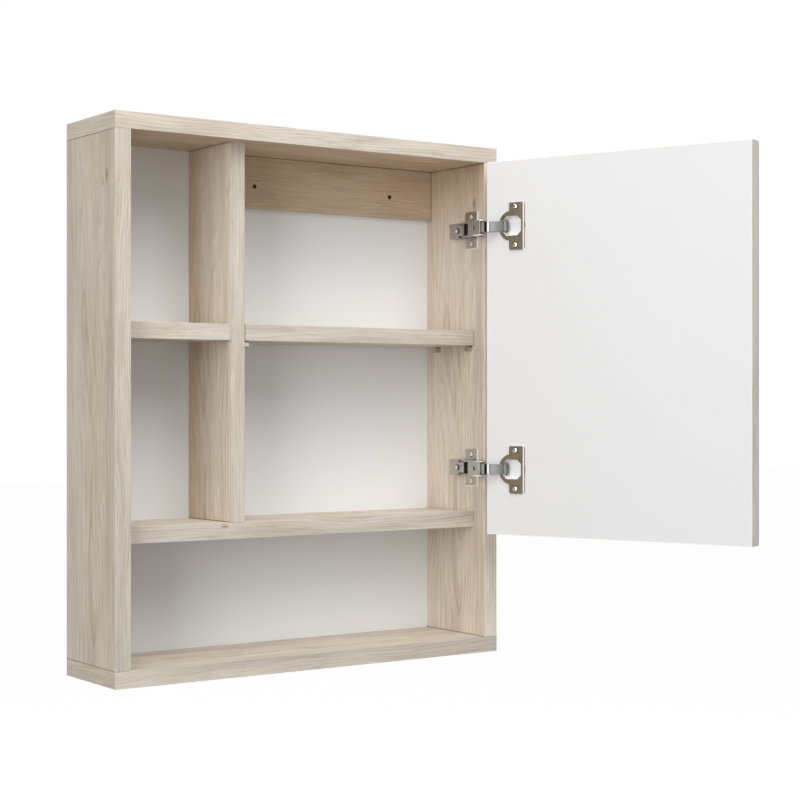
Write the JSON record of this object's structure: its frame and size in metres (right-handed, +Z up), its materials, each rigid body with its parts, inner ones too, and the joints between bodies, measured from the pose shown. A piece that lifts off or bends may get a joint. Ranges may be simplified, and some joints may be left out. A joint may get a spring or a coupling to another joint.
{
  "type": "wall medicine cabinet with mirror door",
  "caption": "Shallow wall cabinet for medicines, with open bays, an adjustable shelf and an inset mirror door on concealed hinges.",
  "frame": {"origin": "midway between the two wall screw holes, on the wall side of the back panel", "axes": "+X right, +Y towards the wall, +Z up"},
  "size_m": [0.6095, 0.4478, 0.6],
  "materials": {
    "oak_board": "satin pale oak decor",
    "oak_edging": "satin pale oak edge strip",
    "white_board": "smooth white melamine",
    "white_back": "smooth white lacquer",
    "mirror": "silvered glass",
    "foam_tape": "matte foam",
    "beech": "raw beech",
    "zinc": "zinc",
    "support_metal": "nickel",
    "plain_steel": "bright zinc",
    "cup_plastic": "white plastic",
    "flange_nickel": "nickel",
    "hinge_nickel": "satin nickel",
    "screw_nickel": "bright nickel"
  },
  "bodies": {
    "case": {"arm_screws": "screw_nickel", "back_panel": "white_back", "back_panel_nails": "plain_steel", "bottom_edge_band": "oak_edging", "bottom_end_bands": "oak_edging", "bottom_panel": "oak_board", "cam_bolts": "zinc", "cam_locks": "zinc", "case_dowels": "beech", "case_screws": "plain_steel", "divider_edge_band": "oak_edging", "divider_panel": "oak_board", "hanging_rail": "oak_board", "left_shelf": "oak_board", "left_shelf_edge_band": "oak_edging", "left_side_edge_band": "oak_edging", "left_side_panel": "oak_board", "lower_hinge_arm": "hinge_nickel", "lower_hinge_arm_pin": "screw_nickel", "lower_hinge_plate": "hinge_nickel", "middle_shelf": "oak_board", "middle_shelf_edge_band": "oak_edging", "plate_screws": "screw_nickel", "rail_dowels": "beech", "right_side_edge_band": "oak_edging", "right_side_panel": "oak_board", "shelf_supports": "support_metal", "top_edge_band": "oak_edging", "top_end_bands": "oak_edging", "top_panel": "oak_board", "upper_hinge_arm": "hinge_nickel", "upper_hinge_arm_pin": "screw_nickel", "upper_hinge_plate": "hinge_nickel"},
    "door": {"door_panel": "white_board", "door_top_band": "oak_edging", "door_bottom_band": "oak_edging", "door_hinge_side_band": "oak_edging", "door_free_side_band": "oak_edging", "mirror_glass": "mirror", "mirror_tapes": "foam_tape", "cup_screws": "screw_nickel", "upper_hinge_cup": "cup_plastic", "upper_hinge_flange": "flange_nickel", "upper_hinge_cup_pin": "screw_nickel", "lower_hinge_cup": "cup_plastic", "lower_hinge_flange": "flange_nickel", "lower_hinge_cup_pin": "screw_nickel"},
    "right_shelf": {"right_shelf": "oak_board", "right_shelf_edge_band": "oak_edging"},
    "upper_bridge": {"upper_hinge_bridge": "hinge_nickel", "upper_hinge_bridge_pin": "screw_nickel", "upper_hinge_adjusting_screw": "screw_nickel"},
    "upper_link": {"upper_hinge_link": "hinge_nickel"},
    "lower_bridge": {"lower_hinge_bridge": "hinge_nickel", "lower_hinge_bridge_pin": "screw_nickel", "lower_hinge_adjusting_screw": "screw_nickel"},
    "lower_link": {"lower_hinge_link": "hinge_nickel"}
  },
  "joints": [
    {"name": "door_swing", "type": "hinge", "parent": "case", "child": "door", "pos_m": [0.165, -0.1217, 0], "axis": [0, 0, 1], "range_deg": [-111, 0]},
    {"name": "right_shelf_lift", "type": "slide", "parent": "case", "child": "right_shelf", "axis": [0, 0, 1], "range_m": [0, 0.06]},
    {"name": "upper_bridge_turn", "type": "hinge", "parent": "case", "child": "upper_bridge", "pos_m": [0.1505, -0.0945, -0.0438], "axis": [0, 0, 1], "range_deg": [-111, 0]},
    {"name": "upper_link_turn", "type": "hinge", "parent": "upper_bridge", "child": "upper_link", "pos_m": [0.14602, -0.12943, -0.0438], "axis": [0, 0, 1], "range_deg": [0, 111]},
    {"name": "lower_bridge_turn", "type": "hinge", "parent": "case", "child": "lower_bridge", "pos_m": [0.1505, -0.0945, -0.3282], "axis": [0, 0, 1], "range_deg": [-111, 0]},
    {"name": "lower_link_turn", "type": "hinge", "parent": "lower_bridge", "child": "lower_link", "pos_m": [0.14602, -0.12943, -0.3282], "axis": [0, 0, 1], "range_deg": [0, 111]}
  ],
  "couplings": [
    {"joint": "upper_bridge_turn", "follows": "door_swing", "ratio": 1},
    {"joint": "upper_link_turn", "follows": "door_swing", "ratio": -1},
    {"joint": "lower_bridge_turn", "follows": "door_swing", "ratio": 1},
    {"joint": "lower_link_turn", "follows": "door_swing", "ratio": -1}
  ]
}
